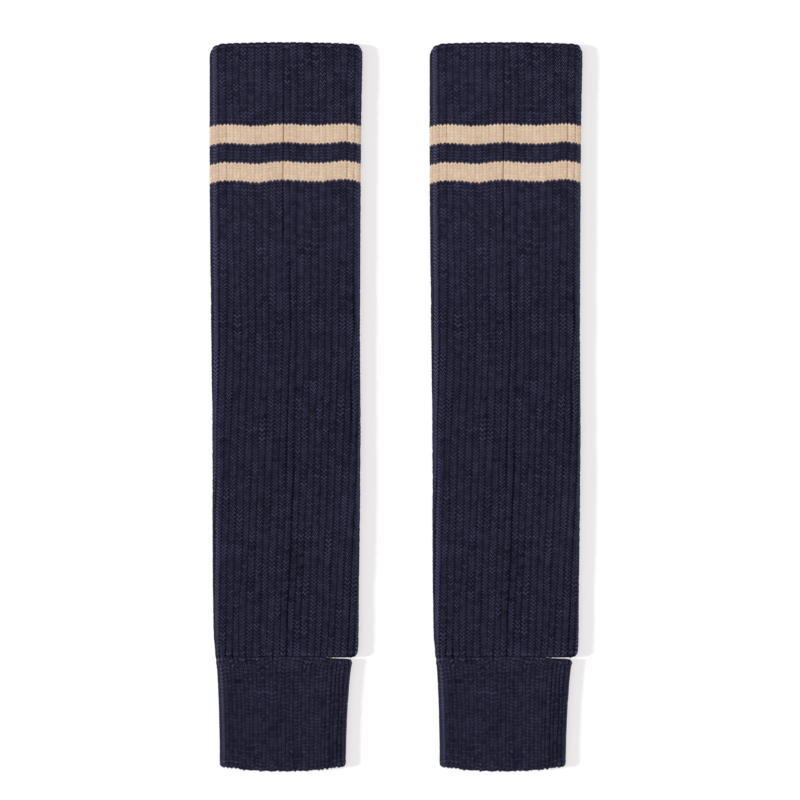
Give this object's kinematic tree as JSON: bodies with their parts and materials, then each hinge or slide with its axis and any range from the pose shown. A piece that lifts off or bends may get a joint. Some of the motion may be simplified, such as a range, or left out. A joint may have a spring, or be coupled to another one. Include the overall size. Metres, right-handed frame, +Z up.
{
  "type": "pair of ribbed knit arm warmers laid flat",
  "caption": "Long ribbed knit arm warmers lying flat side by side, striped near the upper end, each with a finer ribbed cuff and a thumb slit at one fold.",
  "frame": {"origin": "middle of the pair's outline, on the surface that it lies on", "axes": "+X across the pair towards the thumb slits, +Y along it towards the upper ends, +Z up off the surface"},
  "size_m": [0.2349, 0.4605, 0.0054],
  "materials": {
    "navy_knit": "matt knitted yarn, navy",
    "cream_knit": "matt knitted yarn, warm cream stripes"
  },
  "bodies": {
    "root": {"left_body_front": "navy_knit", "left_body_back": "navy_knit", "left_cuff_front": "navy_knit", "left_cuff_back": "navy_knit", "right_body_front": "navy_knit", "right_body_back": "navy_knit", "right_cuff_front": "navy_knit", "right_cuff_back": "navy_knit"}
  },
  "joints": []
}
